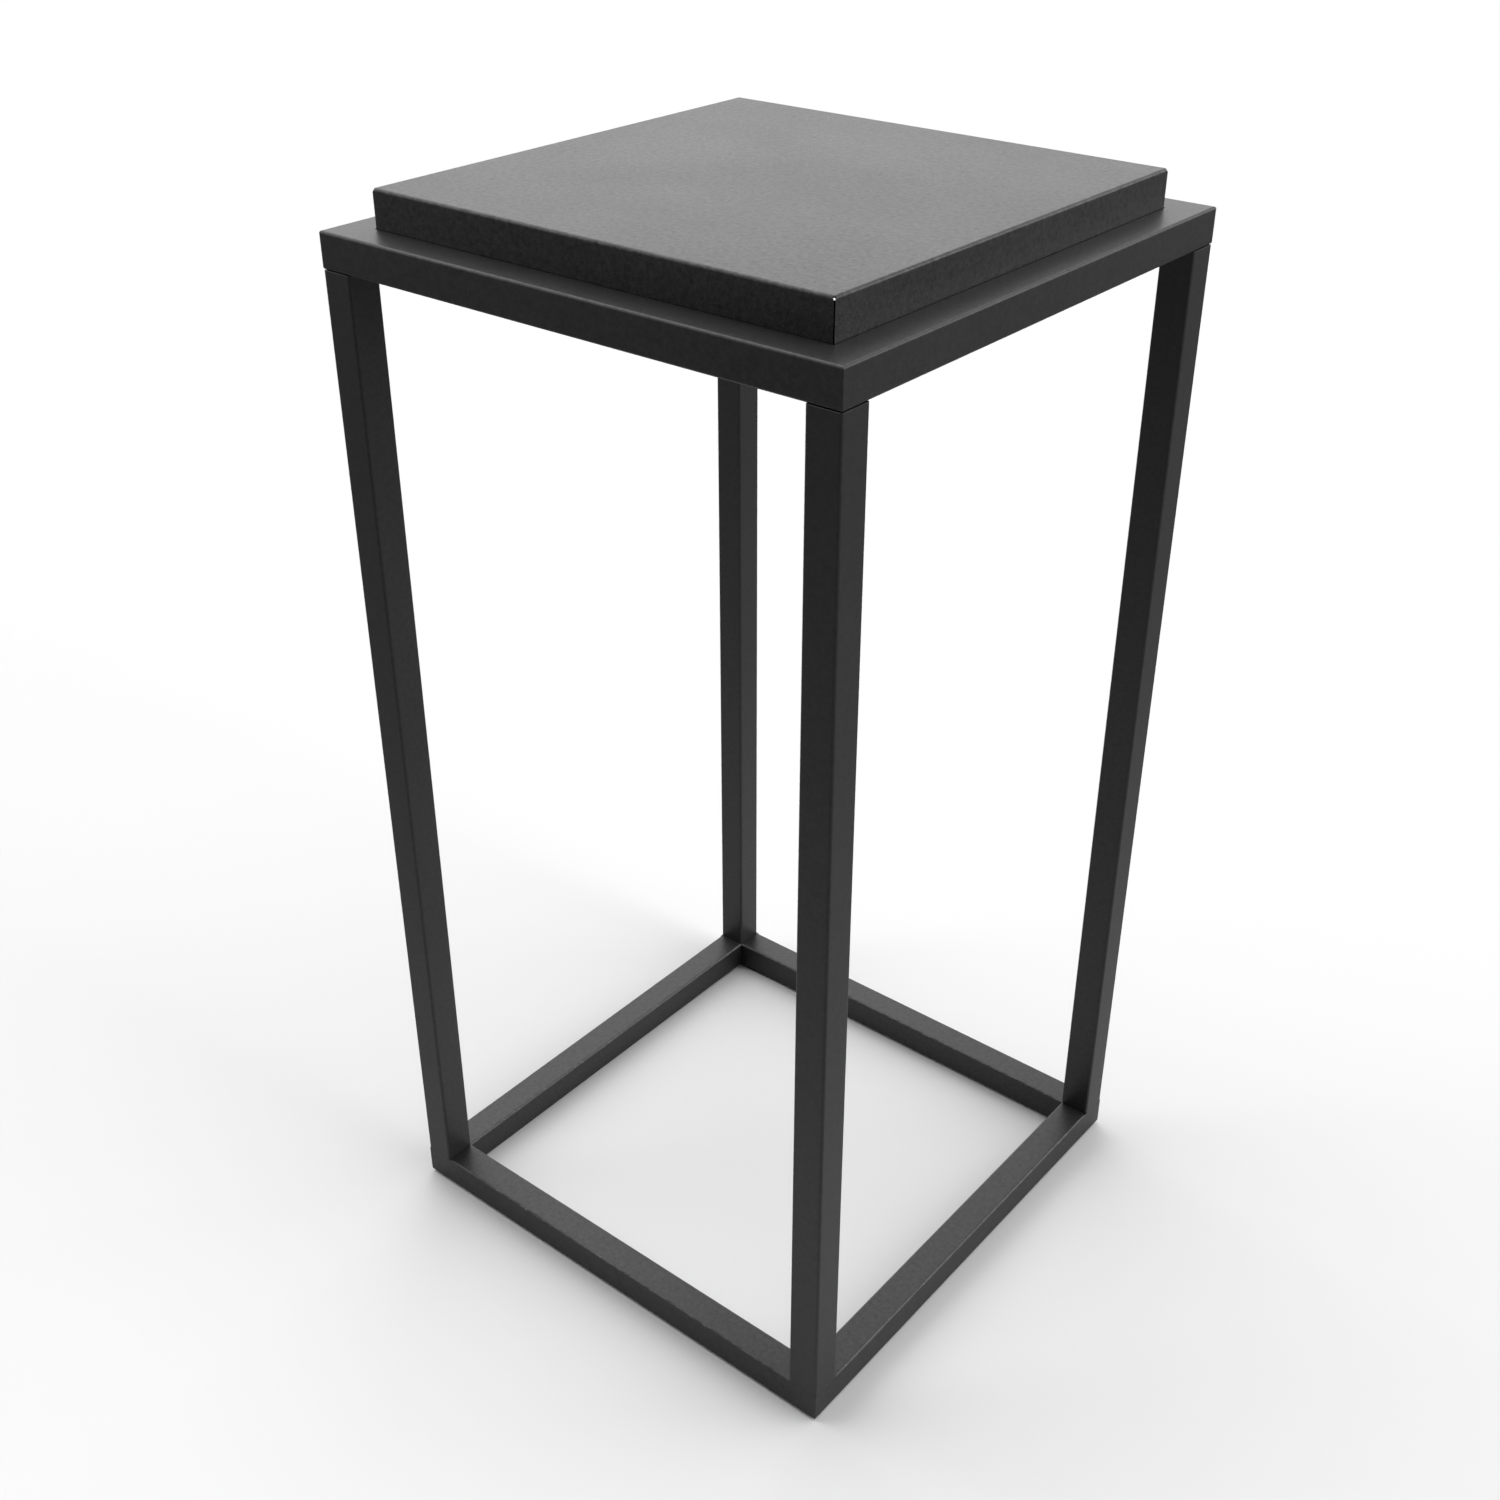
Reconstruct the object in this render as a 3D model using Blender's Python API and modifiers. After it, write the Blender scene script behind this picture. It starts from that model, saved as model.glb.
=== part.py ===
"""Display plinth: a tall frame of square steel tube with a folded sheet-steel tray in its top ring.

Units are metres and +Z is up. The origin is on the floor, under the middle of the plinth.
The front faces -Y and the right side faces +X.
"""
import math

import bmesh
import bpy

# Overall size
FRAME_WIDTH = 0.500         # outer face to outer face, both ways
FRAME_HEIGHT = 0.970        # underside of the base ring to the top of the upper ring
TRAY_STANDS_PROUD = 0.031   # top of the upper ring to the top of the tray

# Square tube of the rings and legs
TUBE_SIZE = 0.030
TUBE_WALL = 0.0015
TUBE_RADIUS = 0.0023        # outer corner radius, about one and a half walls
CORNER_SEGMENTS = 4

# Folded tray
TRAY_CLEARANCE = 0.0006     # between a skirt and the inner face of the ring
SHEET = 0.0015
BEND_RADIUS = 0.0026        # outside of the bend
BEND_SEGMENTS = 4
SLIT_WIDTH = 0.0008         # between the ends of two skirts, across the corner
RELIEF_RADIUS = 0.0012      # hole where two bends meet

# Plates that carry the tray inside the ring's corners
GUSSET_LEG = 0.060
GUSSET_THICKNESS = 0.003
GUSSET_NOSE = 0.004         # cut-off corner, clear of the ring's inner weld
GUSSET_RISE = 0.003         # above the underside of the ring
PAD_SIZE = 0.024
PAD_THICKNESS = 0.002
PAD_EDGE = 0.0004

# Short tubes under the ring, inside the tops of the legs
SPIGOT_SIZE = 0.025
SPIGOT_RADIUS = 0.0020
SPIGOT_LENGTH = 0.040

# Floor glides
GLIDE_RADIUS = 0.009
GLIDE_HEIGHT = 0.002
GLIDE_EDGE = 0.0004
GLIDE_SIDES = 32

# Faces that touch are drawn this far apart
JOINT_GAP = 0.0003

# Heights and places that follow from the sizes above
BASE_TOP = GLIDE_HEIGHT + TUBE_SIZE
RING_TOP = GLIDE_HEIGHT + FRAME_HEIGHT
RING_UNDERSIDE = RING_TOP - TUBE_SIZE
TRAY_TOP = RING_TOP + TRAY_STANDS_PROUD
TUBE_CENTRE = (FRAME_WIDTH - TUBE_SIZE) / 2
RING_INNER = FRAME_WIDTH / 2 - TUBE_SIZE
TRAY_WIDTH = 2 * (RING_INNER - TRAY_CLEARANCE)
GUSSET_BOTTOM = RING_UNDERSIDE + GUSSET_RISE
GUSSET_TOP = GUSSET_BOTTOM + GUSSET_THICKNESS
PAD_BOTTOM = GUSSET_TOP + JOINT_GAP
TRAY_BOTTOM = PAD_BOTTOM + PAD_THICKNESS + JOINT_GAP
TRAY_HEIGHT = TRAY_TOP - TRAY_BOTTOM

QUARTER = math.pi / 2
SIDES = ("front", "right", "back", "left")
CORNERS = ("front_right", "back_right", "back_left", "front_left")

# Finishes: base colour, roughness, metallic
POWDER_COAT = ((0.020, 0.020, 0.021), 0.42, 0.0)
RUBBER = ((0.012, 0.012, 0.012), 0.85, 0.0)
NYLON = ((0.018, 0.018, 0.019), 0.60, 0.0)


def clear_scene():
    for old in list(bpy.data.objects):
        bpy.data.objects.remove(old, do_unlink=True)


def new_collection(name):
    collection = bpy.data.collections.new(name)
    bpy.context.scene.collection.children.link(collection)
    return collection


def place(obj, collection):
    """Move an object into one collection only."""
    for old in list(obj.users_collection):
        old.objects.unlink(obj)
    collection.objects.link(obj)


def give_finish(obj, finish):
    """Give an object its own Principled material."""
    colour, roughness, metallic = finish
    material = bpy.data.materials.new(obj.name + "_finish")
    material.use_nodes = True
    shader = material.node_tree.nodes["Principled BSDF"]
    shader.inputs["Base Color"].default_value = (*colour, 1.0)
    shader.inputs["Roughness"].default_value = roughness
    shader.inputs["Metallic"].default_value = metallic
    obj.data.materials.append(material)


def make_box(name, size, collection):
    """A box around its own origin, with its size in the mesh and its scale left at 1."""
    bpy.ops.mesh.primitive_cube_add(size=1.0)
    box = bpy.context.active_object
    box.name = name
    box.data.name = name
    box.scale = size
    bpy.ops.object.transform_apply(location=False, rotation=False, scale=True)
    place(box, collection)
    return box


def make_cylinder(name, radius, depth, sides, collection):
    bpy.ops.mesh.primitive_cylinder_add(vertices=sides, radius=radius, depth=depth)
    cylinder = bpy.context.active_object
    cylinder.name = name
    cylinder.data.name = name
    place(cylinder, collection)
    return cylinder


def make_cutter(cutter, parent):
    """Turn an object into a hidden cutting tool that follows its parent."""
    cutter.parent = parent
    cutter.hide_render = True
    cutter.display_type = "WIRE"
    return cutter


def weight_edges(obj, chosen):
    """Mark the edges that a Bevel limited by weight will round. chosen tests an edge's two ends."""
    mesh = bmesh.new()
    mesh.from_mesh(obj.data)
    weights = mesh.edges.layers.float.new("bevel_weight_edge")
    for edge in mesh.edges:
        first, second = (vertex.co for vertex in edge.verts)
        edge[weights] = 1.0 if chosen(first, second) else 0.0
    mesh.to_mesh(obj.data)
    mesh.free()


def round_edges(obj, radius, segments, limit="WEIGHT"):
    bevel = obj.modifiers.new("round_edges", "BEVEL")
    bevel.limit_method = limit
    bevel.width = radius
    bevel.segments = segments
    bevel.use_clamp_overlap = False


def cut(obj, cutter, label):
    boolean = obj.modifiers.new(label, "BOOLEAN")
    boolean.operation = "DIFFERENCE"
    boolean.solver = "EXACT"
    boolean.object = cutter


def runs_along_x(first, second):
    return abs(first.x - second.x) > 1e-6


def square_tube(name, length, size, radius, parts, cutters):
    """A hollow square tube along its own X axis, open at both ends."""
    tube = make_box(name, (length, size, size), parts)
    weight_edges(tube, runs_along_x)
    round_edges(tube, radius, CORNER_SEGMENTS)

    bore_size = size - 2 * TUBE_WALL
    bore = make_cutter(make_box(name + "_bore", (2 * length, bore_size, bore_size), cutters), tube)
    weight_edges(bore, runs_along_x)
    round_edges(bore, radius - TUBE_WALL, CORNER_SEGMENTS // 2)
    cut(tube, bore, "bore")
    return tube


def cut_mitres(rail, cutters):
    """Cut both ends of a rail at 45 degrees, so that its outer face, on -Y, is the long one."""
    block = 3 * TUBE_SIZE
    for end, sign in (("right", 1), ("left", -1)):
        cutter = make_cutter(make_box(f"{rail.name}_mitre_{end}", (block, block, block), cutters), rail)
        middle_x = FRAME_WIDTH / 2 - TUBE_SIZE / 2
        reach = (block / 2 - JOINT_GAP / 2) / math.sqrt(2)
        cutter.location = (sign * (middle_x + reach), reach, 0)
        cutter.rotation_euler = (0, 0, sign * QUARTER / 2)
        cut(rail, cutter, "mitre_" + end)


def turn(x, y, quarters):
    """Turn a point in plan about the plinth's centre line by a number of quarter turns."""
    for _ in range(quarters):
        x, y = -y, x
    return x, y


def build_ring(label, middle_height, parts, cutters):
    """Four mitred rails, each the same rail turned a further quarter."""
    for quarters, side in enumerate(SIDES):
        rail = square_tube(f"{label}_rail_{side}", FRAME_WIDTH, TUBE_SIZE, TUBE_RADIUS, parts, cutters)
        cut_mitres(rail, cutters)
        x, y = turn(0, -TUBE_CENTRE, quarters)
        rail.location = (x, y, middle_height)
        rail.rotation_euler = (0, 0, quarters * QUARTER)
        give_finish(rail, POWDER_COAT)


def build_upright(label, corner, quarters, size, radius, bottom, top, parts, cutters):
    """A square tube standing on end at one corner of the frame."""
    upright = square_tube(f"{label}_{corner}", top - bottom, size, radius, parts, cutters)
    x, y = turn(TUBE_CENTRE, -TUBE_CENTRE, quarters)
    upright.location = (x, y, (bottom + top) / 2)
    upright.rotation_euler = (0, -QUARTER, quarters * QUARTER)
    give_finish(upright, POWDER_COAT)


def build_gusset(corner, quarters, parts):
    """A triangular plate in a corner of the upper ring. Its own origin is the ring's inner corner."""
    near = JOINT_GAP
    far = GUSSET_LEG
    nose = JOINT_GAP + GUSSET_NOSE
    outline = ((-near, nose), (-near, far), (-far, near), (-nose, near))
    curve = bpy.data.curves.new("corner_gusset_" + corner, "CURVE")
    curve.dimensions = "2D"
    curve.fill_mode = "BOTH"
    curve.extrude = GUSSET_THICKNESS / 2
    spline = curve.splines.new("POLY")
    spline.points.add(len(outline) - 1)
    for point, (x, y) in zip(spline.points, outline):
        point.co = (x, y, 0, 1)
    spline.use_cyclic_u = True

    gusset = bpy.data.objects.new(curve.name, curve)
    parts.objects.link(gusset)
    x, y = turn(RING_INNER, -RING_INNER, quarters)
    gusset.location = (x, y, (GUSSET_BOTTOM + GUSSET_TOP) / 2)
    gusset.rotation_euler = (0, 0, quarters * QUARTER)
    give_finish(gusset, POWDER_COAT)


def build_pad(corner, quarters, parts):
    """A rubber pad on a gusset, under the lower edges of the two skirts that meet there."""
    pad = make_box("tray_pad_" + corner, (PAD_SIZE, PAD_SIZE, PAD_THICKNESS), parts)
    round_edges(pad, PAD_EDGE, 2, "ANGLE")
    middle = (TRAY_WIDTH - PAD_SIZE) / 2
    x, y = turn(middle, -middle, quarters)
    pad.location = (x, y, PAD_BOTTOM + PAD_THICKNESS / 2)
    give_finish(pad, RUBBER)


def build_glide(corner, quarters, parts):
    """A round glide under a corner of the base ring."""
    height = GLIDE_HEIGHT - JOINT_GAP
    glide = make_cylinder("floor_glide_" + corner, GLIDE_RADIUS, height, GLIDE_SIDES, parts)
    round_edges(glide, GLIDE_EDGE, 2, "ANGLE")
    x, y = turn(TUBE_CENTRE, -TUBE_CENTRE, quarters)
    glide.location = (x, y, height / 2)
    glide.data.shade_smooth()
    glide.data.set_sharp_from_angle(angle=math.radians(40))
    give_finish(glide, NYLON)


def build_tray(parts, cutters):
    """A sheet folded down on four sides, with a slit and a relief hole at each corner.

    The tray's own origin is on the line along which it lifts, at the level of its lower edge.
    """
    tray = make_box("top_tray", (TRAY_WIDTH, TRAY_WIDTH, TRAY_HEIGHT), parts)
    half = TRAY_WIDTH / 2
    mesh = bmesh.new()
    mesh.from_mesh(tray.data)
    bmesh.ops.translate(mesh, verts=mesh.verts, vec=(0, 0, TRAY_HEIGHT / 2))
    floor = [face for face in mesh.faces if face.normal.z < -0.5]
    bmesh.ops.delete(mesh, geom=floor, context="FACES_ONLY")
    mesh.to_mesh(tray.data)
    mesh.free()
    weight_edges(tray, lambda first, second: min(first.z, second.z) > TRAY_HEIGHT / 2)
    round_edges(tray, BEND_RADIUS, BEND_SEGMENTS)

    shell = tray.modifiers.new("sheet", "SOLIDIFY")
    shell.thickness = SHEET
    shell.offset = -1
    shell.use_even_offset = True

    slit_depth = 8 * SHEET
    relief_depth = 12 * SHEET
    lean = math.atan(math.sqrt(2))
    for quarters, corner in enumerate(CORNERS):
        x, y = turn(half, -half, quarters)
        slit = make_box("slit_" + corner, (slit_depth, SLIT_WIDTH, TRAY_HEIGHT), cutters)
        make_cutter(slit, tray)
        slit.location = (x, y, TRAY_HEIGHT / 2 - BEND_RADIUS / 2)
        slit.rotation_euler = (0, 0, (quarters - 0.5) * QUARTER)
        cut(tray, slit, "slit_" + corner)

        relief = make_cylinder("relief_" + corner, RELIEF_RADIUS, relief_depth, 16, cutters)
        make_cutter(relief, tray)
        inset = SHEET / 2
        x, y = turn(half - inset, -half + inset, quarters)
        relief.location = (x, y, TRAY_HEIGHT - inset)
        relief.rotation_euler = (0, lean, (quarters - 0.5) * QUARTER)
        cut(tray, relief, "relief_" + corner)

    tray.location = (0, 0, TRAY_BOTTOM)
    give_finish(tray, POWDER_COAT)


def build_plinth():
    clear_scene()
    parts = new_collection("display_plinth")
    cutters = new_collection("cutters")

    build_ring("base", GLIDE_HEIGHT + TUBE_SIZE / 2, parts, cutters)
    build_ring("ring", RING_UNDERSIDE + TUBE_SIZE / 2, parts, cutters)
    for quarters, corner in enumerate(CORNERS):
        leg_bottom = BASE_TOP + JOINT_GAP
        leg_top = RING_UNDERSIDE - JOINT_GAP
        build_upright("leg", corner, quarters, TUBE_SIZE, TUBE_RADIUS, leg_bottom, leg_top, parts, cutters)
        spigot_bottom = leg_top - SPIGOT_LENGTH
        build_upright(
            "leg_spigot", corner, quarters, SPIGOT_SIZE, SPIGOT_RADIUS, spigot_bottom, leg_top, parts, cutters
        )
        build_gusset(corner, quarters, parts)
        build_pad(corner, quarters, parts)
        build_glide(corner, quarters, parts)
    build_tray(parts, cutters)


build_plinth()
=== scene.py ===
"""Looks of the display plinth: tubes with rounded edges, a folded sheet tray, weld beads and finishes.

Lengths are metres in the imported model's own frame: +Z up, the floor at 0, the front facing -Y.
"""
import math

import bmesh
import bpy
from mathutils import Matrix, Vector


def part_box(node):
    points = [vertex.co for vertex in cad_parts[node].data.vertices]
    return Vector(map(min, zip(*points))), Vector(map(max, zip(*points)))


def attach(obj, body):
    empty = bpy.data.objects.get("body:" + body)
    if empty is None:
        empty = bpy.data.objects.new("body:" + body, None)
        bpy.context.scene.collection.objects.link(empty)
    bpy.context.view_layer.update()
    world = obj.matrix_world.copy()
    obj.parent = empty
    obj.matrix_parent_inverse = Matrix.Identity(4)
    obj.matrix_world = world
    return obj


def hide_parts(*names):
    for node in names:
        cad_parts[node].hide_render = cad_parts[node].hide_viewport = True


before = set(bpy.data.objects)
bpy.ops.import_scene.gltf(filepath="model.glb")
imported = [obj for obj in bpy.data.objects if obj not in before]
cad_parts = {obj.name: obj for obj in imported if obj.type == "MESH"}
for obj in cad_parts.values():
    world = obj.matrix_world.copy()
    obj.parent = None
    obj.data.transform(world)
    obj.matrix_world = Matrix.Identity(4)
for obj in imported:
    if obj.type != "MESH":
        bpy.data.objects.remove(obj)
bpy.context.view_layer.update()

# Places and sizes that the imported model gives
base_low, base_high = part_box("base_rail_front")
ring_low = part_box("ring_rail_front")[0]
leg_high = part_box("leg_front_right")[1]
tray_low, tray_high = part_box("top_tray")
gusset_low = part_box("corner_gusset_front_right")[0]
HALF = -base_low.y                      # half the width of the frame
TUBE = base_high.z - base_low.z         # side of its square tube
TRAY_HALF = tray_high.x                 # half the width of the tray

# Tubes, as the real stock has them
WALL = 0.0015
TUBE_RADIUS = 0.0023
BORE_RADIUS = 0.0006
SQUARE_EDGE = 0.00015       # edge that is filled with weld and ground square
SEAT_EDGE = 0.0005          # the ring's inner top edge, dressed nearly square where the tray drops in
FLAT_MARGIN = 0.0025        # from a rounded edge to where its wear has faded out
ARC_SEGMENTS = 8
MITRE_EDGE = 0.0006         # upright edge of a ground mitre
MITRE_MARGIN = 0.0005       # from the last straight section to the inner end of the mitre
MITRE_STEPS = 3
WELD_BLEND = 0.004          # length over which a ground weld runs out into the tube's own edge
WELD_STEPS = 4
WELD_SINK = 0.00015         # depth of the faint line left where a leg's weld is ground
CUT_EDGE = 0.0002           # chamfer of a deburred cut edge

# Tray
SHEET = 0.0015
BEND_RADIUS = 0.0026
BEND_SEGMENTS = 8
SLIT_WIDTH = 0.0010
SLIT_REACH = 8 * SHEET      # length of the slit's cutter, along the diagonal through the corner
SLIT_DROP = 0.0021          # from the top face to the head of a slit
RELIEF_DROP = 0.0009        # from the top face to the middle of the relief hole over a slit
RELIEF_RADIUS = 0.0009
RELIEF_MOUTH = 0.0018       # the hole is sunk this wide to a flat step
RELIEF_STEP = 0.0016        # depth of that step, from the corner's upright line
CUTTER_LENGTH = 0.1         # longer than the tray is deep
ROD_LENGTH = 0.008
ROD_SEGMENTS = 24
FLUSH = 0.000001            # points this near a plane lie in it
SLIVER = 0.00001            # points this near each other are one

# Weld beads
BEAD_RADIUS = 0.0022
BEAD_RIPPLE = 0.0003
BEAD_PITCH = 0.0021
BEAD_STEPS = 6              # rows of points for each ripple
BEAD_SIDES = 10
BEAD_END = 0.35             # radius of a bead at its two ends, as a share of its full radius
BEAD_GROWTH = 14            # what that share gains over a length of the bead, until it is 1
BEAD_MARGIN = 0.006         # plate edge left bare at each end of a bead
BEAD_SINK = 0.0003          # how far a bead has melted into the sheet
BEAD_DROP = 0.0032          # from the top face to the head of a seam bead, clear of the relief hole

QUARTER = math.pi / 2
SIDES = ("front", "right", "back", "left")
CORNERS = ("front_right", "back_right", "back_left", "front_left")
SHARP_ANGLE = math.radians(35)
BEAD_SHARP_ANGLE = math.radians(60)


# Mesh helpers

def mesh_object(name, mesh):
    """A new object with this mesh, linked to the scene."""
    mesh.name = name
    obj = bpy.data.objects.new(name, mesh)
    bpy.context.scene.collection.objects.link(obj)
    return obj


def mesh_data(mesh, name):
    """Store an edited mesh under this name."""
    data = bpy.data.meshes.new(name)
    mesh.to_mesh(data)
    mesh.free()
    return data


def join_loops(mesh, low, high):
    """A closed band of faces between two loops of as many points."""
    count = len(low)
    for index in range(count):
        following = (index + 1) % count
        mesh.faces.new((low[index], low[following], high[following], high[index]))


def smooth(obj):
    """Shade round stretches smooth and keep flats flat."""
    obj.data.shade_smooth()
    obj.data.set_sharp_from_angle(angle=SHARP_ANGLE)
    weighted = obj.modifiers.new("flat_faces", "WEIGHTED_NORMAL")
    weighted.keep_sharp = True


def section(size, radii, inset=0.0):
    """Points (across, up, edge) round a square section with one radius per corner.

    across runs from the outer face inwards. The corners are outer bottom, inner bottom, inner top
    and outer top. edge is 0 on the flats and rises to 1 in the middle of a full rounded corner.
    inset moves the outline inwards.
    """
    points = []
    for number, (inner, top) in enumerate(((0, 0), (1, 0), (1, 1), (0, 1))):
        radius = radii[number]
        centre = Vector((size - radius if inner else radius, size - radius if top else radius))
        first = math.pi + number * QUARTER
        arc = []
        for step in range(ARC_SEGMENTS + 1):
            share = step / ARC_SEGMENTS
            angle = first + QUARTER * share
            point = centre + (radius - inset) * Vector((math.cos(angle), math.sin(angle)))
            edge = min(1.0, radius / TUBE_RADIUS) * math.sin(math.pi * share) ** 2
            arc.append((point.x, point.y, edge))
        last = first + QUARTER
        before = (arc[0][0] + FLAT_MARGIN * math.sin(first), arc[0][1] - FLAT_MARGIN * math.cos(first), 0.0)
        after = (arc[-1][0] - FLAT_MARGIN * math.sin(last), arc[-1][1] + FLAT_MARGIN * math.cos(last), 0.0)
        points += [before, *arc, after]
    return points


def bore_section(size):
    """Matching points round the bore, where nothing wears."""
    points = section(size, (WALL + BORE_RADIUS,) * 4, inset=WALL)
    return [(across, up, 0.0) for across, up, _ in points]


def tube_mesh(name, outer_loops, bore_loops):
    """A tube's mesh through matching loops of (point, edge), closed over its wall at both ends."""
    mesh = bmesh.new()
    edge_layer = mesh.verts.layers.float.new("edge")
    ends = []
    for loops in (outer_loops, bore_loops):
        rows = []
        for loop in loops:
            row = []
            for point, edge in loop:
                vertex = mesh.verts.new(point)
                vertex[edge_layer] = edge
                row.append(vertex)
            rows.append(row)
        for low, high in zip(rows, rows[1:]):
            join_loops(mesh, low, high)
        ends.append((rows[0], rows[-1]))
    for outer_end, bore_end in zip(*ends):
        join_loops(mesh, outer_end, bore_end)
    bmesh.ops.recalc_face_normals(mesh, faces=mesh.faces)
    return mesh_data(mesh, name)


# Tubes

def rail_places(square_at_legs):
    """Stations (place, radius, turn) along half a rail, from its middle to its mitre.

    radius is that of the outer top edge. turn is None before the mitre, and then runs over the
    rounded upright edge in radians.
    """
    straight_end = HALF - TUBE - MITRE_MARGIN
    corner = TUBE_RADIUS
    places = [(0.0, corner, None)]
    if square_at_legs:
        for step in range(WELD_STEPS + 1):
            share = step / WELD_STEPS
            eased = share * share * (3 - 2 * share)
            radius = TUBE_RADIUS + (SQUARE_EDGE - TUBE_RADIUS) * eased
            places.append((straight_end - WELD_BLEND * (1 - share), radius, None))
        corner = SQUARE_EDGE
    else:
        places.append((straight_end, corner, None))
    for step in range(MITRE_STEPS + 1):
        places.append((straight_end, corner, step / MITRE_STEPS * QUARTER / 2))
    return places


def rail_point(place, turn, across, up, bottom, sign):
    """A section's point on the front rail, at a station, in the model's frame.

    Each station past the straight tube has its own share of the way from there to the mitre.
    """
    if turn is not None:
        straight_end = place
        bulge = MITRE_EDGE * (1 - math.cos(turn))
        last_bulge = MITRE_EDGE * (1 - math.cos(QUARTER / 2))
        reach = HALF - MITRE_EDGE + MITRE_EDGE * math.sin(turn)
        last_reach = HALF - last_bulge
        share = (reach - straight_end) / (last_reach - straight_end)
        place = straight_end + share * (HALF - max(across, last_bulge) - straight_end)
        across = max(across, bulge)
    return Vector((sign * place, -HALF + across, bottom + up))


def build_rail(name, quarters, bottom, square_at_legs, inner_top=TUBE_RADIUS):
    """A mitred rail. Where a leg stands on it, its outer top edge is filled and ground square."""
    half = rail_places(square_at_legs)
    stations = [(-1, *place) for place in reversed(half[1:])] + [(1, *place) for place in half]
    spin = Matrix.Rotation(quarters * QUARTER, 4, "Z")
    outer_loops = []
    bore_loops = []
    for sign, place, radius, turn in stations:
        outline = section(TUBE, (TUBE_RADIUS, TUBE_RADIUS, inner_top, radius))
        for loops, points in ((outer_loops, outline), (bore_loops, bore_section(TUBE))):
            loops.append([
                (spin @ rail_point(place, turn, across, up, bottom, sign), edge)
                for across, up, edge in points
            ])
    rail = mesh_object(name + "_tube", tube_mesh(name, outer_loops, bore_loops))
    smooth(rail)
    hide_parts(name)
    return rail


def build_leg(name, quarters):
    """A leg, cut square at both ends. Its foot stands on the base ring with no gap, as welded."""
    spin = Matrix.Rotation(quarters * QUARTER, 4, "Z")
    levels = (
        (base_high.z, WELD_SINK),
        (base_high.z + WELD_SINK, 0.0),
        (leg_high.z - CUT_EDGE, 0.0),
        (leg_high.z, CUT_EDGE),
    )
    outer_loops = []
    bore_loops = []
    for level, inset in levels:
        outline = section(TUBE, (TUBE_RADIUS,) * 4, inset)
        for loops, points in ((outer_loops, outline), (bore_loops, bore_section(TUBE))):
            loops.append([
                (spin @ Vector((HALF - across, -HALF + back, level)), edge)
                for across, back, edge in points
            ])
    leg = mesh_object(name + "_tube", tube_mesh(name, outer_loops, bore_loops))
    smooth(leg)
    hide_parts(name)
    return leg


# Tray

def cutter_box(size, location, turn):
    """A box turned about the upright axis."""
    mesh = bmesh.new()
    bmesh.ops.create_cube(mesh, size=1.0)
    bmesh.ops.scale(mesh, vec=size, verts=mesh.verts)
    cutter = mesh_object("cutter", mesh_data(mesh, "cutter"))
    cutter.location = location
    cutter.rotation_euler = (0, 0, turn)
    return cutter


def cutter_rod(radius, start, direction):
    """A rod that begins at start and is long enough to leave the tray."""
    mesh = bmesh.new()
    bmesh.ops.create_cone(
        mesh, cap_ends=True, segments=ROD_SEGMENTS, radius1=radius, radius2=radius, depth=ROD_LENGTH
    )
    bmesh.ops.translate(mesh, vec=(0, 0, ROD_LENGTH / 2), verts=mesh.verts)
    cutter = mesh_object("cutter", mesh_data(mesh, "cutter"))
    cutter.location = start
    cutter.rotation_euler = direction.to_track_quat("Z", "Y").to_euler()
    return cutter


def open_pan():
    """The tray's outside surface, open underneath, bent over at its four top edges."""
    height = tray_high.z - tray_low.z
    mesh = bmesh.new()
    bmesh.ops.create_cube(mesh, size=1.0)
    bmesh.ops.scale(mesh, vec=(2 * TRAY_HALF, 2 * TRAY_HALF, height), verts=mesh.verts)
    bmesh.ops.translate(mesh, vec=(0, 0, (tray_high.z + tray_low.z) / 2), verts=mesh.verts)
    floor = [face for face in mesh.faces if face.normal.z < -0.5]
    bmesh.ops.delete(mesh, geom=floor, context="FACES_ONLY")
    flat_half = TRAY_HALF - BEND_RADIUS - FLAT_MARGIN
    cuts = [((0, 0, tray_high.z - BEND_RADIUS - FLAT_MARGIN), (0, 0, 1))]
    for sign in (-1, 1):
        cuts.append(((sign * flat_half, 0, 0), (1, 0, 0)))
        cuts.append(((0, sign * flat_half, 0), (0, 1, 0)))
    for place, normal in cuts:
        everything = mesh.verts[:] + mesh.edges[:] + mesh.faces[:]
        bmesh.ops.bisect_plane(mesh, geom=everything, plane_co=place, plane_no=normal, dist=FLUSH)
    rim = []
    for edge in mesh.edges:
        middle = (edge.verts[0].co + edge.verts[1].co) / 2
        outermost = max(abs(middle.x), abs(middle.y)) > TRAY_HALF - FLUSH
        if outermost and middle.z > tray_high.z - FLUSH:
            rim.append(edge)
    bmesh.ops.bevel(
        mesh, geom=rim, offset=BEND_RADIUS, segments=BEND_SEGMENTS, profile=0.5, affect="EDGES"
    )
    return mesh_data(mesh, "top_tray_sheet")


def remove_slivers(data):
    """Merge the doubled points that the cuts leave."""
    mesh = bmesh.new()
    mesh.from_mesh(data)
    bmesh.ops.remove_doubles(mesh, verts=mesh.verts, dist=SLIVER)
    bmesh.ops.dissolve_degenerate(mesh, edges=mesh.edges, dist=SLIVER)
    mesh.to_mesh(data)
    mesh.free()


def mark_tray_edges(mesh):
    """Set the edge attribute: 1 on the lower edges, and rising to 1 halfway round a bend."""
    values = mesh.attributes.new("edge", "FLOAT", "POINT")
    bend = TRAY_HALF - BEND_RADIUS
    for vertex, value in zip(mesh.vertices, values.data):
        out = max(abs(vertex.co.x), abs(vertex.co.y)) - bend
        up = vertex.co.z - (tray_high.z - BEND_RADIUS)
        if out > 0 and up > 0:
            value.value = math.sin(2 * math.atan2(up, out)) ** 2
        elif vertex.co.z < tray_low.z + CUT_EDGE:
            value.value = 1.0


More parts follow.
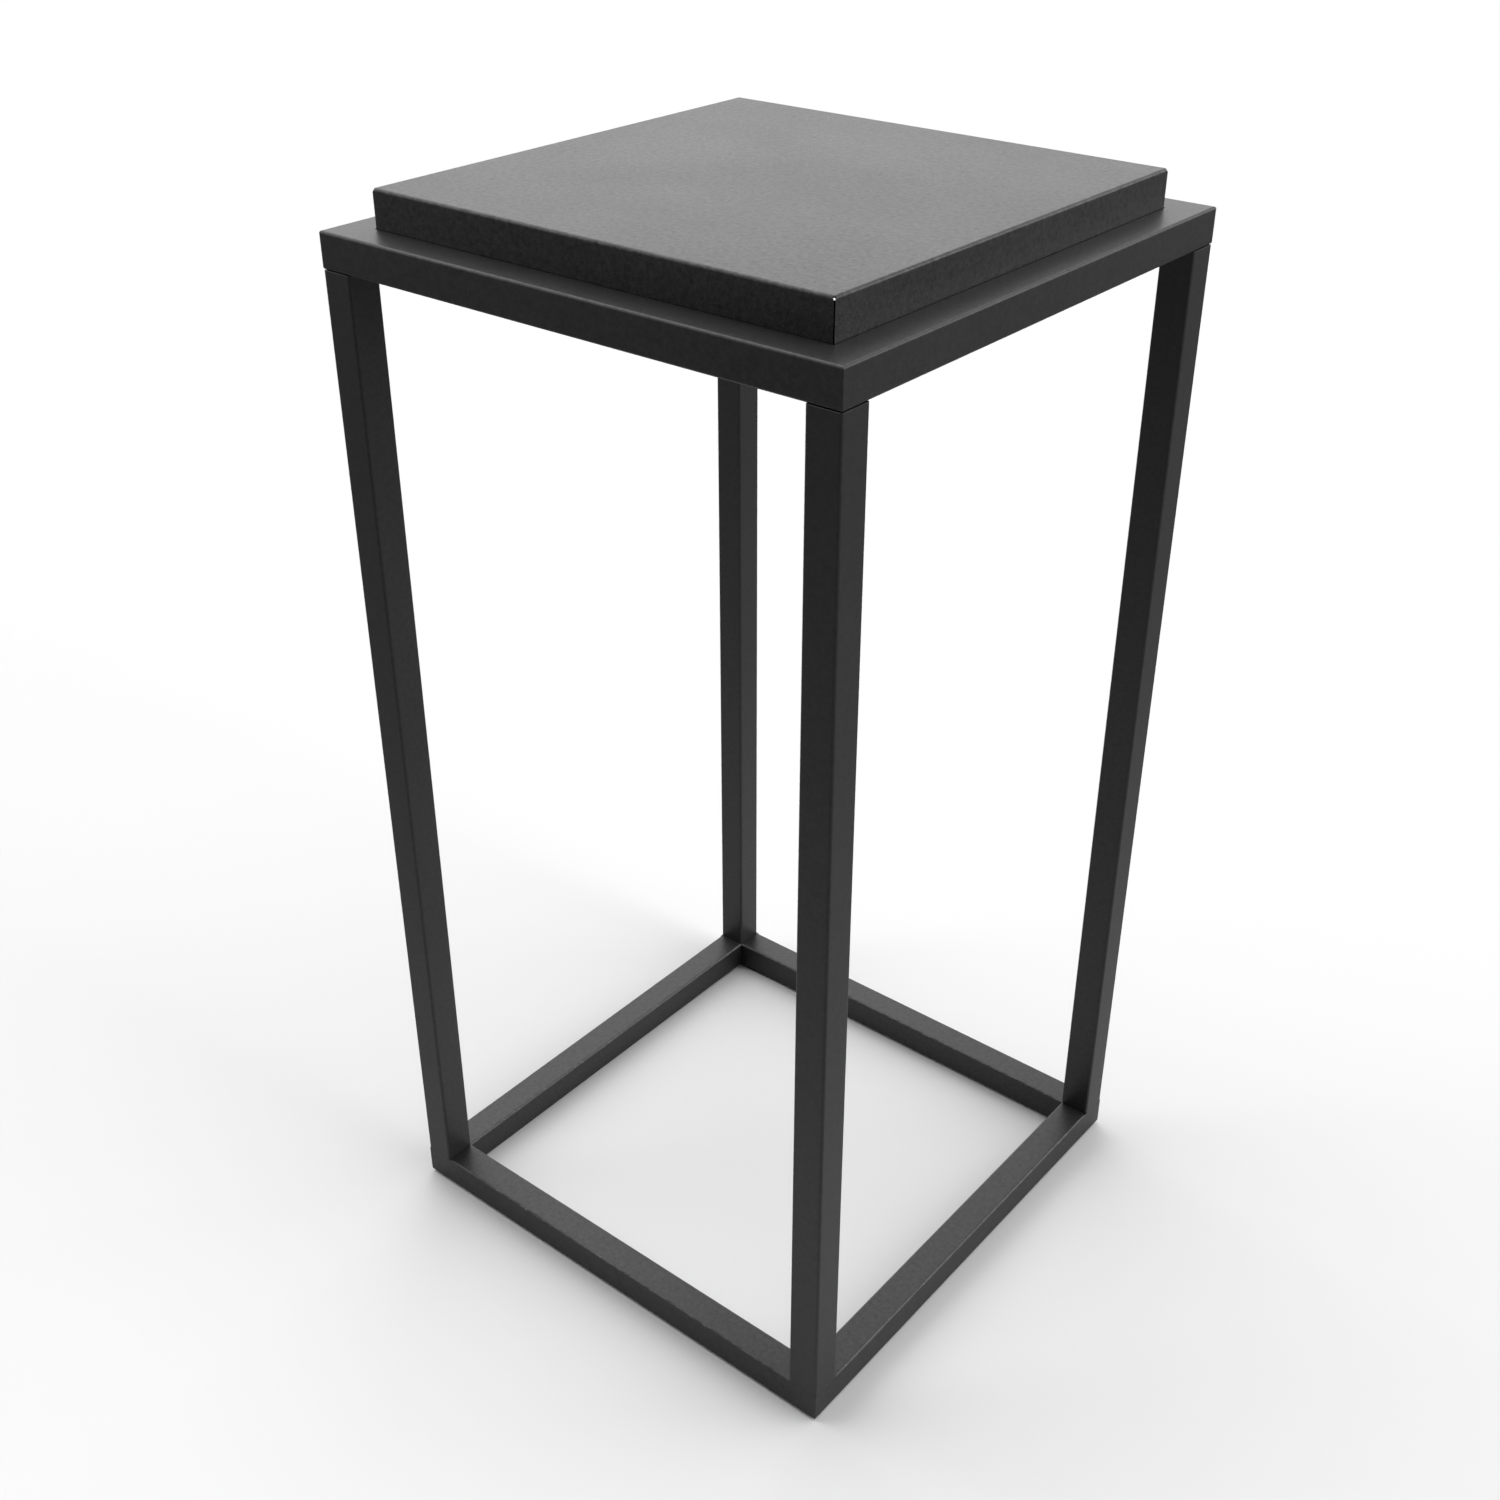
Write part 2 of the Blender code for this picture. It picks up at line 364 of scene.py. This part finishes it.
def corner_cutters(quarters):
    """What opens a corner: the slit, the sunk mouth of the relief hole at its head, and the hole."""
    spin = Matrix.Rotation(quarters * QUARTER, 4, "Z")
    corner = spin @ Vector((TRAY_HALF, -TRAY_HALF, 0))
    slit_top = tray_high.z - SLIT_DROP
    middle = Vector((corner.x, corner.y, slit_top - CUTTER_LENGTH / 2))
    slit_size = (SLIT_REACH, SLIT_WIDTH, CUTTER_LENGTH)
    outwards = (spin @ Vector((1, -1, 1))).normalized()
    place = corner + Vector((0, 0, tray_high.z - RELIEF_DROP))
    return [
        cutter_box(slit_size, middle, (quarters - 0.5) * QUARTER),
        cutter_rod(RELIEF_MOUTH, place - RELIEF_STEP * outwards, outwards),
        cutter_rod(RELIEF_RADIUS, place, -outwards),
    ]


def build_tray():
    """The folded tray, open underneath and slit at its corners."""
    tray = mesh_object("top_tray_sheet", open_pan())
    shell = tray.modifiers.new("sheet", "SOLIDIFY")
    shell.thickness = SHEET
    shell.offset = -1
    shell.use_even_offset = True
    cutters = []
    for quarters in range(len(CORNERS)):
        cutters += corner_cutters(quarters)
    for cutter in cutters:
        boolean = tray.modifiers.new("cut", "BOOLEAN")
        boolean.operation = "DIFFERENCE"
        boolean.solver = "EXACT"
        boolean.object = cutter
    evaluated = tray.evaluated_get(bpy.context.evaluated_depsgraph_get())
    finished = bpy.data.meshes.new_from_object(evaluated)
    tray.modifiers.clear()
    remove_slivers(finished)
    tray.data = finished
    tray.data.name = "top_tray_sheet"
    for cutter in cutters:
        bpy.data.objects.remove(cutter, do_unlink=True)
    mark_tray_edges(tray.data)
    smooth(tray)
    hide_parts("top_tray")
    return tray


# Weld beads

def build_bead(name, start, end, wall, plate):
    """A rippled weld bead from start to end, in the corner between a wall and a plate.

    wall and plate are the directions away from those two faces.
    """
    along = end - start
    steps = int(along.length / BEAD_PITCH * BEAD_STEPS)
    mesh = bmesh.new()
    rows = []
    for step in range(steps + 1):
        share = step / steps
        travelled = share * along.length
        ripple = BEAD_RIPPLE * abs(math.sin(math.pi * travelled / BEAD_PITCH))
        taper = min(1.0, min(share, 1 - share) * BEAD_GROWTH + BEAD_END)
        radius = (BEAD_RADIUS + ripple) * taper
        centre = start + along * share
        row = [mesh.verts.new(centre)]
        for side in range(BEAD_SIDES + 1):
            angle = QUARTER * side / BEAD_SIDES
            outwards = math.cos(angle) * wall + math.sin(angle) * plate
            row.append(mesh.verts.new(centre + radius * outwards))
        rows.append(row)
    for low, high in zip(rows, rows[1:]):
        join_loops(mesh, low, high)
    mesh.faces.new(rows[0])
    mesh.faces.new(rows[-1])
    bmesh.ops.recalc_face_normals(mesh, faces=mesh.faces)
    bead = mesh_object(name, mesh_data(mesh, name))
    bead.data.shade_smooth()
    bead.data.set_sharp_from_angle(angle=BEAD_SHARP_ANGLE)
    return bead


def build_gusset_beads(corner, quarters):
    """Two beads under a gusset, where its straight edges meet the ring's inner faces."""
    spin = Matrix.Rotation(quarters * QUARTER, 4, "Z")
    inner = HALF - TUBE
    level = gusset_low.z
    near = inner - BEAD_MARGIN
    far = gusset_low.x + BEAD_MARGIN
    down = Vector((0, 0, -1))
    beads = []
    for label, start, end, wall in (
        ("side", Vector((inner, -near, level)), Vector((inner, -far, level)), Vector((-1, 0, 0))),
        ("face", Vector((near, -inner, level)), Vector((far, -inner, level)), Vector((0, 1, 0))),
    ):
        beads.append(build_bead(
            f"gusset_weld_{label}_{corner}", spin @ start, spin @ end, spin @ wall, down
        ))
    return beads


def build_seam_bead(corner, quarters):
    """The weld up the inside of a tray corner, which closes the slit behind the two flanges."""
    spin = Matrix.Rotation(quarters * QUARTER, 4, "Z")
    inner = TRAY_HALF - SHEET + BEAD_SINK
    foot = Vector((inner, -inner, tray_low.z + SHEET))
    head = Vector((inner, -inner, tray_high.z - BEAD_DROP))
    return build_bead(
        f"tray_seam_weld_{corner}", spin @ foot, spin @ head,
        spin @ Vector((-1, 0, 0)), spin @ Vector((0, 1, 0)),
    )


# Materials

COAT_DARK = (0.0135, 0.0135, 0.0139, 1)
COAT_LIGHT = (0.0165, 0.0165, 0.0168, 1)
COAT_ON_EDGE = (0.020, 0.020, 0.020, 1)
# the base rails' edge colour: thin coat, and a painted highlight that lightens their rounded edges
BASE_EDGE_THIN_COAT_AND_HIGHLIGHT = (0.065, 0.065, 0.065, 1)
CHIP_COLOUR = (0.16, 0.16, 0.16, 1)
COAT_ROUGHNESS = 0.40
CLOUD_SIZE = 0.12
CLOUD_ROUGHNESS = 0.02      # how far the clouds move the roughness either way
GRAIN_SIZE = 0.0014
GRAIN_ROUGHNESS = 0.04      # how far the grain moves the roughness either way
MOTTLE_SIZE = 0.0045
SHEEN_SHARE = 0.5           # how much of the contrast shows in the mottled shine
PEEL_SIZE = 0.0040
PEEL_DEPTH = 0.00003
FLECK_SIZE = 0.0016
FLECK_RANGE = (0.25, 0.75)  # noise values over which an edge's colour goes from its least to its most
FLECK_SHARES = (0.5, 1.0)   # the least and the most of that colour
CHIP_SIZE = 0.0055
CHIP_RANGE = (0.61, 0.67)   # noise values between which the coat is chipped through
LUMP_SIZE = 0.011
LUMP_DEPTH = 0.0018
NOISE_RANGE = (0.3, 0.7)    # between which nearly all of a noise's values lie

PLAIN_CLOUD_SIZE = 0.006
PLAIN_CLOUD_ROUGHNESS = 0.06
PLAIN_LIGHTENING = 1.5      # from the darkest to the lightest of a rubber or plastic


def link(tree, source, target):
    """Join one node's output to another's input."""
    tree.links.new(source, target)


def new_material(name):
    """A material with nodes, its node tree and its shader."""
    material = bpy.data.materials.new(name)
    material.use_nodes = True
    return material, material.node_tree, material.node_tree.nodes["Principled BSDF"]


def noise(tree, coordinates, size, detail, roughness=0.55):
    """A noise value between 0 and 1 whose features are about size metres across."""
    node = tree.nodes.new("ShaderNodeTexNoise")
    node.inputs["Scale"].default_value = 1 / size
    node.inputs["Detail"].default_value = detail
    node.inputs["Roughness"].default_value = roughness
    link(tree, coordinates, node.inputs["Vector"])
    return node.outputs["Fac"]


def spread(tree, value, low, high, out_low, out_high, kind="LINEAR"):
    """Map a value from one range to another, clamped."""
    node = tree.nodes.new("ShaderNodeMapRange")
    node.interpolation_type = kind
    node.inputs["From Min"].default_value = low
    node.inputs["From Max"].default_value = high
    node.inputs["To Min"].default_value = out_low
    node.inputs["To Max"].default_value = out_high
    link(tree, value, node.inputs["Value"])
    return node.outputs["Result"]


def maths(tree, operation, first, second):
    """An operation on two values, each a number or a node's output."""
    node = tree.nodes.new("ShaderNodeMath")
    node.operation = operation
    for socket, value in zip(node.inputs, (first, second)):
        if isinstance(value, (int, float)):
            socket.default_value = value
        else:
            link(tree, value, socket)
    return node.outputs["Value"]


def blend_colours(tree, share, first, second):
    """Mix two colours. On this node, inputs 6 and 7 and output 2 are the colour sockets."""
    node = tree.nodes.new("ShaderNodeMix")
    node.data_type = "RGBA"
    link(tree, share, node.inputs["Factor"])
    for socket, value in ((node.inputs[6], first), (node.inputs[7], second)):
        if isinstance(value, tuple):
            socket.default_value = value
        else:
            link(tree, value, socket)
    return node.outputs[2]


def bump(tree, height, distance, normal=None):
    """A normal tilted by a height of up to distance metres, over another one if it is given."""
    node = tree.nodes.new("ShaderNodeBump")
    node.inputs["Distance"].default_value = distance
    link(tree, height, node.inputs["Height"])
    if normal is not None:
        link(tree, normal, node.inputs["Normal"])
    return node.outputs["Normal"]


def powder_coat(
    name, grain_depth, contrast, edge_colour=COAT_ON_EDGE, roughness=COAT_ROUGHNESS,
    edge_roughness=0.0, chips=0.0,
):
    """Black powder coat: fine grain over a shallow orange peel, cloudy gloss and a lighter colour on the
    edges.

    contrast is how much the grain lightens and darkens the coat. edge_colour is thin film on the rounded
    edges, and the base's lighter one also paints a highlight there. A rounded edge adds edge_roughness
    to the roughness. chips is the share of their own colour that chips take on along the edges, where
    the coat is also lumpy.
    """
    material, tree, shader = new_material(name)
    coordinates = tree.nodes.new("ShaderNodeTexCoord").outputs["Object"]
    edge = tree.nodes.new("ShaderNodeAttribute")
    edge.attribute_name = "edge"
    clouds = noise(tree, coordinates, CLOUD_SIZE, detail=4)
    peel = noise(tree, coordinates, PEEL_SIZE, detail=2)
    grain = noise(tree, coordinates, GRAIN_SIZE, detail=2, roughness=0.7)
    flecks = noise(tree, coordinates, FLECK_SIZE, detail=2)
    mottle = noise(tree, coordinates, MOTTLE_SIZE, detail=3, roughness=0.75)

    cloud_share = spread(tree, clouds, *NOISE_RANGE, 0.0, 1.0)
    body = blend_colours(tree, cloud_share, COAT_DARK, COAT_LIGHT)
    # edges take edge_colour: thin film, and with the base's lighter colour also a painted highlight
    flecked = spread(tree, flecks, *FLECK_RANGE, *FLECK_SHARES)
    thin_coat_and_highlight = maths(tree, "MULTIPLY", edge.outputs["Fac"], flecked)
    colour = blend_colours(tree, thin_coat_and_highlight, body, edge_colour)
    if chips:
        nicks = noise(tree, coordinates, CHIP_SIZE, detail=3, roughness=0.7)
        bare = spread(tree, nicks, *CHIP_RANGE, 0.0, chips)
        chipped = maths(tree, "MULTIPLY", edge.outputs["Fac"], bare)
        colour = blend_colours(tree, chipped, colour, CHIP_COLOUR)
    shaded = tree.nodes.new("ShaderNodeVectorMath")
    shaded.operation = "SCALE"
    link(tree, colour, shaded.inputs[0])
    link(tree, spread(tree, grain, *NOISE_RANGE, 1 - contrast, 1 + contrast), shaded.inputs["Scale"])
    link(tree, shaded.outputs["Vector"], shader.inputs["Base Color"])
    sheen = (0.5 - SHEEN_SHARE * contrast, 0.5 + SHEEN_SHARE * contrast)
    link(tree, spread(tree, mottle, *NOISE_RANGE, *sheen), shader.inputs["Specular IOR Level"])

    cloudy = spread(tree, clouds, *NOISE_RANGE, roughness - CLOUD_ROUGHNESS, roughness + CLOUD_ROUGHNESS)
    gritty = spread(tree, grain, *NOISE_RANGE, -GRAIN_ROUGHNESS, GRAIN_ROUGHNESS)
    worn = maths(tree, "MULTIPLY", edge.outputs["Fac"], edge_roughness)
    link(tree, maths(tree, "ADD", maths(tree, "ADD", cloudy, gritty), worn), shader.inputs["Roughness"])
    relief = bump(tree, peel, PEEL_DEPTH)
    if chips:
        lumps = noise(tree, coordinates, LUMP_SIZE, detail=2, roughness=0.5)
        swell = maths(tree, "MULTIPLY", edge.outputs["Fac"], maths(tree, "SUBTRACT", lumps, 0.5))
        relief = bump(tree, swell, LUMP_DEPTH, relief)
    link(tree, bump(tree, grain, grain_depth, relief), shader.inputs["Normal"])
    return material


def plain_black(name, colour, roughness, grain_size, grain_depth):
    """Matte rubber or plastic with a fine moulded grain and slightly uneven gloss."""
    material, tree, shader = new_material(name)
    coordinates = tree.nodes.new("ShaderNodeTexCoord").outputs["Object"]
    clouds = noise(tree, coordinates, PLAIN_CLOUD_SIZE, detail=3)
    grain = noise(tree, coordinates, grain_size, detail=2)
    shade = spread(tree, clouds, *NOISE_RANGE, 0.0, 1.0)
    lighter = [PLAIN_LIGHTENING * channel for channel in colour]
    cloudy = spread(
        tree, clouds, *NOISE_RANGE, roughness - PLAIN_CLOUD_ROUGHNESS, roughness + PLAIN_CLOUD_ROUGHNESS
    )
    link(tree, blend_colours(tree, shade, (*colour, 1), (*lighter, 1)), shader.inputs["Base Color"])
    link(tree, cloudy, shader.inputs["Roughness"])
    link(tree, bump(tree, grain, grain_depth), shader.inputs["Normal"])
    return material


def dress(obj, material, body="frame"):
    """Give a new piece its finish and let it ride on its body."""
    obj.data.materials.clear()
    obj.data.materials.append(material)
    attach(obj, body)


def redress(node, material):
    """Give a CAD node that stays a better finish."""
    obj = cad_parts[node]
    if not obj.material_slots:
        obj.data.materials.append(material)
    for own in obj.material_slots:
        own.material = material


def build_plinth():
    """Every piece of the object, with its finish and its body."""
    tray_coat = powder_coat("tray_powder_coat", grain_depth=0.00018, contrast=0.44)
    frame_coat = powder_coat("frame_powder_coat", grain_depth=0.00006, contrast=0.13)
    ring_coat = powder_coat("ring_powder_coat", grain_depth=0.00008, contrast=0.23, edge_roughness=0.05)
    # the base coat's lighter edge colour paints a highlight along the rails' rounded edges, over thin coat
    # and flecks
    base_coat = powder_coat(
        "base_powder_coat", grain_depth=0.00008, contrast=0.21, edge_colour=BASE_EDGE_THIN_COAT_AND_HIGHLIGHT, chips=0.8
    )
    inner_coat = powder_coat("inner_powder_coat", grain_depth=0.00016, contrast=0.30, roughness=0.50)
    rubber = plain_black(
        "pad_rubber", (0.010, 0.010, 0.010), roughness=0.80, grain_size=0.0006, grain_depth=0.00004
    )
    nylon = plain_black(
        "glide_nylon", (0.014, 0.014, 0.015), roughness=0.55, grain_size=0.0004, grain_depth=0.00002
    )

    for quarters, side in enumerate(SIDES):
        base_rail = build_rail(f"base_rail_{side}", quarters, base_low.z, square_at_legs=True)
        dress(base_rail, base_coat)
        ring_rail = build_rail(
            f"ring_rail_{side}", quarters, ring_low.z, square_at_legs=False, inner_top=SEAT_EDGE
        )
        dress(ring_rail, ring_coat)
    for quarters, corner in enumerate(CORNERS):
        dress(build_leg(f"leg_{corner}", quarters), frame_coat)
        for bead in build_gusset_beads(corner, quarters):
            dress(bead, inner_coat)
        dress(build_seam_bead(corner, quarters), tray_coat, "tray")
        redress(f"corner_gusset_{corner}", inner_coat)
        redress(f"leg_spigot_{corner}", inner_coat)
        redress(f"tray_pad_{corner}", rubber)
        redress(f"floor_glide_{corner}", nylon)
    dress(build_tray(), tray_coat, "tray")


# Studio

CAMERA_AZIMUTH = math.radians(39.1276)
CAMERA_ELEVATION = math.radians(30.8585)
CAMERA_DISTANCE = 1.66489
CAMERA_AIM = (-0.016709, -0.013592, 0.487256)
CAMERA_LENS = 43.4512       # millimetres, as is the sensor
CAMERA_SENSOR = 36.0


def build_camera():
    """The camera, looking back at CAMERA_AIM from its azimuth and elevation."""
    back = towards(CAMERA_AZIMUTH, CAMERA_ELEVATION)
    data = bpy.data.cameras.new("camera")
    data.lens = CAMERA_LENS
    data.sensor_width = CAMERA_SENSOR
    data.clip_start = 0.01
    data.clip_end = 200
    camera = bpy.data.objects.new("camera", data)
    bpy.context.scene.collection.objects.link(camera)
    camera.location = Vector(CAMERA_AIM) + back * CAMERA_DISTANCE
    camera.rotation_euler = back.to_track_quat("Z", "Y").to_euler()
    bpy.context.scene.camera = camera


# Light of the studio, as the plinth sees it. Azimuths turn from the front (-Y) to the right (+X). Each
# patch of sky begins at the first of its two cosines and is full at the second.
SKY_LIGHT = 1.37
SKY_RISE = 1.20             # added towards the zenith
KEY_LIGHT = 5.0             # the bright wall to the right
KEY_AZIMUTH = math.radians(70)
KEY_ELEVATION = math.radians(3)
KEY_COSINES = (0.70, 0.90)
WINDOW_LIGHT = 1.1          # a small softbox behind, on the right, which lines the edges
WINDOW_AZIMUTH = math.radians(142)
WINDOW_ELEVATION = math.radians(18)
WINDOW_COSINES = (0.960, 0.985)
DARK_AZIMUTH = math.radians(23)      # the dark end of the room, behind the camera
DARK_ELEVATION = math.radians(16)
DARK_COSINES = (0.37, 0.57)
CEILING_AZIMUTH = math.radians(172)  # a dimmer patch, high at the back, which thins edge highlights
CEILING_ELEVATION = math.radians(48)
CEILING_COSINES = (0.87, 0.95)
CEILING_SHARE = 0.35        # share of the light that is left there

# What the camera sees of the studio
FLOOR_PALE = 0.74
BACKDROP_PALE = 0.975       # near the far floor's brightness, so that the horizon hardly shows

# The floor's colour as the plinth sees it, a painted shade of a large dim room: FLOOR_FAR, and FLOOR_NEAR
# more at the middle
FLOOR_NEAR = 0.44
FLOOR_FAR = 0.135
FLOOR_REACH = 0.78          # distance at which half of FLOOR_NEAR is left
FLOOR_HALF = 60             # half the side of the floor


def towards(azimuth, elevation):
    """The direction that lies at an azimuth and an elevation."""
    return Vector((
        math.sin(azimuth) * math.cos(elevation),
        -math.cos(azimuth) * math.cos(elevation),
        math.sin(elevation),
    ))


def seen_and_unseen(tree, for_camera, for_plinth):
    """Show the camera one shader and light the plinth with another."""
    path = tree.nodes.new("ShaderNodeLightPath")
    choose = tree.nodes.new("ShaderNodeMixShader")
    link(tree, path.outputs["Is Camera Ray"], choose.inputs["Fac"])
    link(tree, for_plinth, choose.inputs[1])
    link(tree, for_camera, choose.inputs[2])
    return choose.outputs["Shader"]


def build_floor():
    """Pale paper. The plinth sees it in a darker colour, painted shade of a large dim room, darker still
    far away.
    """
    mesh = bmesh.new()
    bmesh.ops.create_grid(mesh, x_segments=1, y_segments=1, size=FLOOR_HALF)
    floor = mesh_object("floor", mesh_data(mesh, "floor"))
    material = bpy.data.materials.new("floor_paper")
    material.use_nodes = True
    tree = material.node_tree
    tree.nodes.remove(tree.nodes["Principled BSDF"])
    pale = tree.nodes.new("ShaderNodeBsdfDiffuse")
    pale.inputs["Color"].default_value = (FLOOR_PALE, FLOOR_PALE, FLOOR_PALE, 1)
    distance = tree.nodes.new("ShaderNodeVectorMath")
    distance.operation = "LENGTH"
    link(tree, tree.nodes.new("ShaderNodeNewGeometry").outputs["Position"], distance.inputs[0])
    reach = maths(tree, "DIVIDE", distance.outputs["Value"], FLOOR_REACH)
    falloff = maths(tree, "ADD", maths(tree, "MULTIPLY", reach, reach), 1.0)
    near = maths(tree, "DIVIDE", FLOOR_NEAR, falloff)
    # painted shade: the darker floor colour that the plinth sees, falling off away from the middle
    painted_shade_floor = tree.nodes.new("ShaderNodeBsdfDiffuse")
    link(tree, maths(tree, "ADD", near, FLOOR_FAR), painted_shade_floor.inputs["Color"])
    both = seen_and_unseen(tree, pale.outputs["BSDF"], painted_shade_floor.outputs["BSDF"])
    link(tree, both, tree.nodes["Material Output"].inputs["Surface"])
    floor.data.materials.append(material)


def lobe(tree, direction, centre, cosines, low, high):
    """A soft-edged patch of sky: low outside it and high inside it."""
    facing = tree.nodes.new("ShaderNodeVectorMath")
    facing.operation = "DOT_PRODUCT"
    facing.inputs[1].default_value = centre
    link(tree, direction, facing.inputs[0])
    return spread(tree, facing.outputs["Value"], *cosines, low, high, "SMOOTHSTEP")


def build_sky():
    """Soft light from nearly all round: brightest on the right, and dark behind the camera."""
    world = bpy.data.worlds.new("studio")
    bpy.context.scene.world = world
    world.use_nodes = True
    tree = world.node_tree
    direction = tree.nodes.new("ShaderNodeTexCoord").outputs["Generated"]
    parts = tree.nodes.new("ShaderNodeSeparateXYZ")
    link(tree, direction, parts.inputs[0])
    rise = maths(tree, "MULTIPLY", parts.outputs["Z"], SKY_RISE)
    even = maths(tree, "ADD", rise, SKY_LIGHT)
    key = lobe(tree, direction, towards(KEY_AZIMUTH, KEY_ELEVATION), KEY_COSINES, 0.0, KEY_LIGHT)
    window = lobe(
        tree, direction, towards(WINDOW_AZIMUTH, WINDOW_ELEVATION), WINDOW_COSINES, 0.0, WINDOW_LIGHT
    )
    open_sky = lobe(tree, direction, towards(DARK_AZIMUTH, DARK_ELEVATION), DARK_COSINES, 1.0, 0.0)
    ceiling = lobe(
        tree, direction, towards(CEILING_AZIMUTH, CEILING_ELEVATION), CEILING_COSINES, 1.0, CEILING_SHARE
    )
    lit = tree.nodes["Background"]
    bright = maths(tree, "ADD", maths(tree, "ADD", even, key), window)
    shade = maths(tree, "MULTIPLY", open_sky, ceiling)
    link(tree, maths(tree, "MULTIPLY", bright, shade), lit.inputs["Strength"])
    lit.inputs["Color"].default_value = (1, 1, 1, 1)
    white = tree.nodes.new("ShaderNodeBackground")
    white.inputs["Color"].default_value = (BACKDROP_PALE, BACKDROP_PALE, BACKDROP_PALE, 1)
    both = seen_and_unseen(tree, white.outputs["Background"], lit.outputs["Background"])
    link(tree, both, tree.nodes["World Output"].inputs["Surface"])


build_plinth()
build_camera()
build_floor()
build_sky()
bpy.context.scene.view_settings.view_transform = "Standard"
